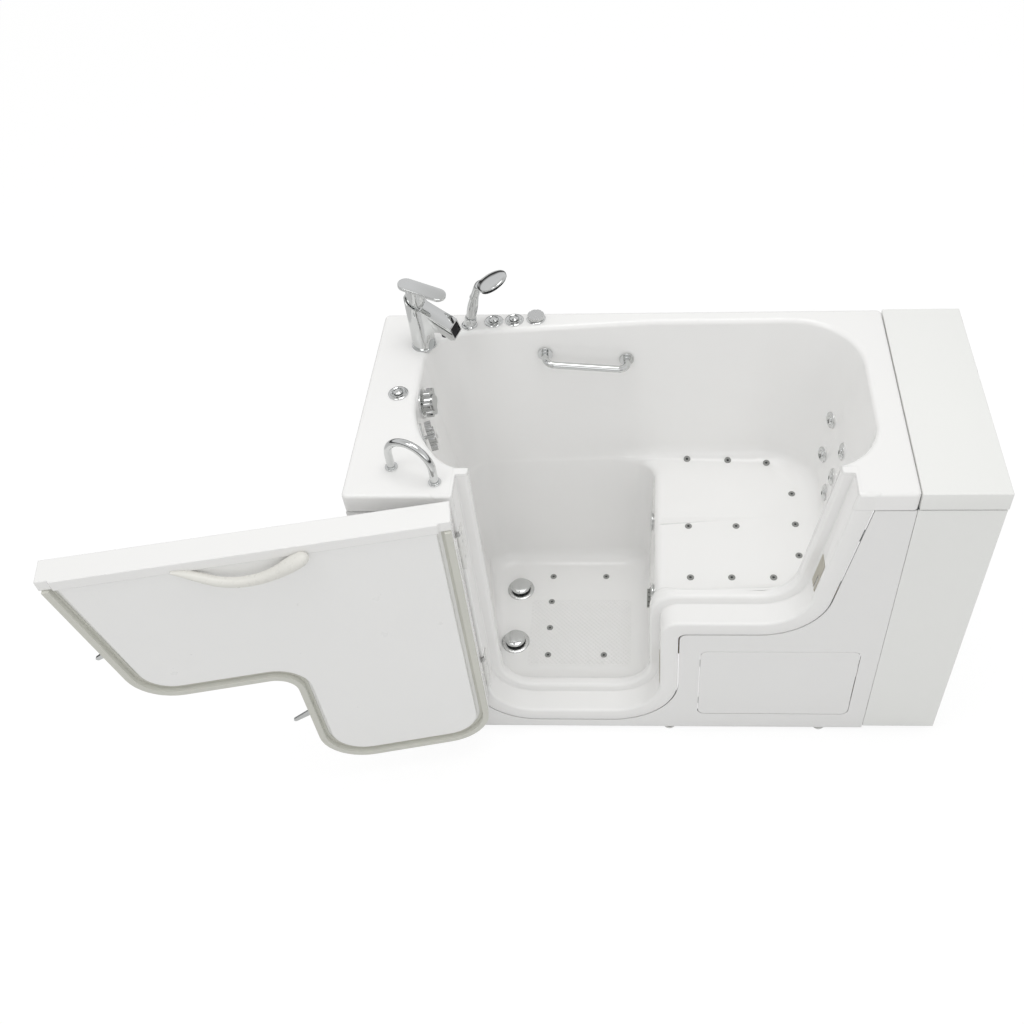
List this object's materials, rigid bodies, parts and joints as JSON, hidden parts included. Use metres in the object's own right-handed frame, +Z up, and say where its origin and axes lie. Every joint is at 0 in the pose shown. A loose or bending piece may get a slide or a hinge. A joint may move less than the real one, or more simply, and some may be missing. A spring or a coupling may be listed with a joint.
{
  "type": "walk-in bathtub",
  "caption": "White walk-in bathtub with a stepped outward-swinging door, moulded seat, deck fittings and a side deck extension.",
  "frame": {"origin": "on the floor under the centre levelling foot, at the middle of the tub's footprint without its extension", "axes": "+X along the tub from the faucet end to the seat and the extension, +Y from the door side to the back, +Z up"},
  "size_m": [2.1875, 0.9163, 1.1998],
  "materials": {
    "white_acrylic": "gloss",
    "white_extension": "gloss",
    "frame_steel": "satin",
    "bearer_wood": "matte",
    "foot_steel": "satin",
    "door_panel": "satin",
    "gasket_rubber": "matte",
    "handle_plastic": "satin",
    "hinge_steel": "satin",
    "strike_metal": "satin",
    "chrome_plate": "polished",
    "dark_plastic": "matte",
    "waste_plastic": "matte",
    "grey_plastic": "satin",
    "pipe_plastic": "satin"
  },
  "bodies": {
    "tub": {"tub_shell": "white_acrylic", "front_apron": "white_acrylic", "end_panel": "white_acrylic", "extension_top": "white_extension", "extension_front": "white_extension", "extension_end": "white_extension", "support_frame": "frame_steel", "bearer_boards": "bearer_wood", "levelling_feet": "foot_steel", "panel_catches": "foot_steel", "hinge_jamb_leaves": "hinge_steel", "hinge_pins": "hinge_steel", "jamb_screws": "hinge_steel", "strike_plates": "strike_metal", "faucet_body": "chrome_plate", "faucet_aerator": "dark_plastic", "deck_nuts": "chrome_plate", "shower_socket": "chrome_plate", "button_bezels": "chrome_plate", "deck_grab_bar": "chrome_plate", "wall_grab_bar": "chrome_plate", "drain_bodies": "chrome_plate", "waste_pipes": "waste_plastic", "overflow_plates": "chrome_plate", "jet_bodies": "chrome_plate", "suction_cover": "grey_plastic", "air_jets": "grey_plastic", "jet_pump": "dark_plastic", "air_blower": "dark_plastic", "jet_pipes": "pipe_plastic", "control_box": "grey_plastic"},
    "door": {"door_body": "white_acrylic", "door_top_cap": "white_acrylic", "door_inner_panel": "door_panel", "door_gasket": "gasket_rubber", "door_handle": "handle_plastic", "hinge_door_leaves": "hinge_steel", "door_screws": "hinge_steel"},
    "upper_latch": {"upper_latch_lever": "chrome_plate", "upper_latch_cam": "chrome_plate"},
    "lower_latch": {"lower_latch_lever": "chrome_plate", "lower_latch_cam": "chrome_plate"},
    "panel": {"access_panel": "white_acrylic"},
    "faucet_core": {"faucet_cartridge": "chrome_plate"},
    "faucet_handle": {"faucet_lever": "chrome_plate"},
    "shower": {"hand_shower": "chrome_plate", "shower_face": "dark_plastic"},
    "jets_push": {"jets_button": "chrome_plate"},
    "blower_push": {"blower_button": "chrome_plate"},
    "light_push": {"light_button": "chrome_plate"},
    "air_dial": {"air_control": "chrome_plate"},
    "rear_knob": {"rear_drain_knob": "chrome_plate"},
    "front_knob": {"front_drain_knob": "chrome_plate"},
    "rear_plug": {"rear_stopper": "chrome_plate"},
    "front_plug": {"front_stopper": "chrome_plate"},
    "nozzle_1": {"back_nozzle_1": "chrome_plate"},
    "nozzle_2": {"back_nozzle_2": "chrome_plate"},
    "nozzle_3": {"back_nozzle_3": "chrome_plate"},
    "nozzle_4": {"back_nozzle_4": "chrome_plate"},
    "nozzle_5": {"back_nozzle_5": "chrome_plate"}
  },
  "joints": [
    {"name": "door_swing", "type": "hinge", "parent": "tub", "child": "door", "pos_m": [-0.4025, -0.3385, 0], "axis": [0, 0, 1], "range_deg": [0, 169]},
    {"name": "upper_latch_turn", "type": "hinge", "parent": "door", "child": "upper_latch", "pos_m": [-1.2081, -0.50375, 0.68], "axis": [-0.1908, 0.9816, 0], "range_deg": [0, 90]},
    {"name": "lower_latch_turn", "type": "hinge", "parent": "door", "child": "lower_latch", "pos_m": [-0.82494, -0.42927, 0.27], "axis": [-0.1908, 0.9816, 0], "range_deg": [0, 90]},
    {"name": "panel_pull", "type": "slide", "parent": "tub", "child": "panel", "axis": [0, -1, 0], "range_m": [0, 0.06]},
    {"name": "faucet_swivel", "type": "hinge", "parent": "tub", "child": "faucet_core", "pos_m": [-0.5375, 0.205, 1.161], "axis": [0, 0, 1], "range_deg": [-45, 45]},
    {"name": "faucet_lift", "type": "hinge", "parent": "faucet_core", "child": "faucet_handle", "pos_m": [-0.5375, 0.205, 1.161], "axis": [-0.2672, -0.9636, 0], "range_deg": [0, 18]},
    {"name": "shower_lift", "type": "slide", "parent": "tub", "child": "shower", "axis": [0.2516, -0.0444, 0.9668], "range_m": [0, 0.2]},
    {"name": "jets_press", "type": "slide", "parent": "tub", "child": "jets_push", "axis": [0, 0, -1], "range_m": [0, 0.003], "stiffness_N_per_m": 800},
    {"name": "blower_press", "type": "slide", "parent": "tub", "child": "blower_push", "axis": [0, 0, -1], "range_m": [0, 0.003], "stiffness_N_per_m": 800},
    {"name": "light_press", "type": "slide", "parent": "tub", "child": "light_push", "axis": [0, 0, -1], "range_m": [0, 0.003], "stiffness_N_per_m": 800},
    {"name": "air_turn", "type": "hinge", "parent": "tub", "child": "air_dial", "pos_m": [-0.2515, 0.303, 1.021], "axis": [0, 0, -1], "range_deg": [0, 180]},
    {"name": "rear_knob_turn", "type": "hinge", "parent": "tub", "child": "rear_knob", "pos_m": [-0.52669, 0.02856, 0.97475], "axis": [0.992, 0, 0.1264], "range_deg": [0, 90]},
    {"name": "front_knob_turn", "type": "hinge", "parent": "tub", "child": "front_knob", "pos_m": [-0.50987, -0.09098, 0.9683], "axis": [0.9472, 0.3051, 0.0984], "range_deg": [0, 90]},
    {"name": "rear_stopper_drop", "type": "slide", "parent": "tub", "child": "rear_plug", "axis": [0, 0, 1], "range_m": [-0.012, 0]},
    {"name": "front_stopper_drop", "type": "slide", "parent": "tub", "child": "front_plug", "axis": [0, 0, 1], "range_m": [-0.012, 0]},
    {"name": "nozzle_1_turn", "type": "hinge", "parent": "tub", "child": "nozzle_1", "pos_m": [0.54286, 0.17566, 0.76491], "axis": [-0.9447, -0.2949, 0.1437], "continuous": true},
    {"name": "nozzle_2_turn", "type": "hinge", "parent": "tub", "child": "nozzle_2", "pos_m": [0.53136, 0.15654, 0.6501], "axis": [-0.9447, -0.2949, 0.1437], "continuous": true},
    {"name": "nozzle_3_turn", "type": "hinge", "parent": "tub", "child": "nozzle_3", "pos_m": [0.55573, 0.0437, 0.77695], "axis": [-0.9888, 0, 0.1495], "continuous": true},
    {"name": "nozzle_4_turn", "type": "hinge", "parent": "tub", "child": "nozzle_4", "pos_m": [0.54065, 0.04519, 0.67719], "axis": [-0.9888, 0, 0.1495], "continuous": true},
    {"name": "nozzle_5_turn", "type": "hinge", "parent": "tub", "child": "nozzle_5", "pos_m": [0.53005, 0.05337, 0.6071], "axis": [-0.9888, 0, 0.1495], "continuous": true}
  ],
  "couplings": [
    {"joint": "rear_stopper_drop", "follows": "rear_knob_turn", "m_per_rad": -0.00763},
    {"joint": "front_stopper_drop", "follows": "front_knob_turn", "m_per_rad": -0.00763}
  ]
}
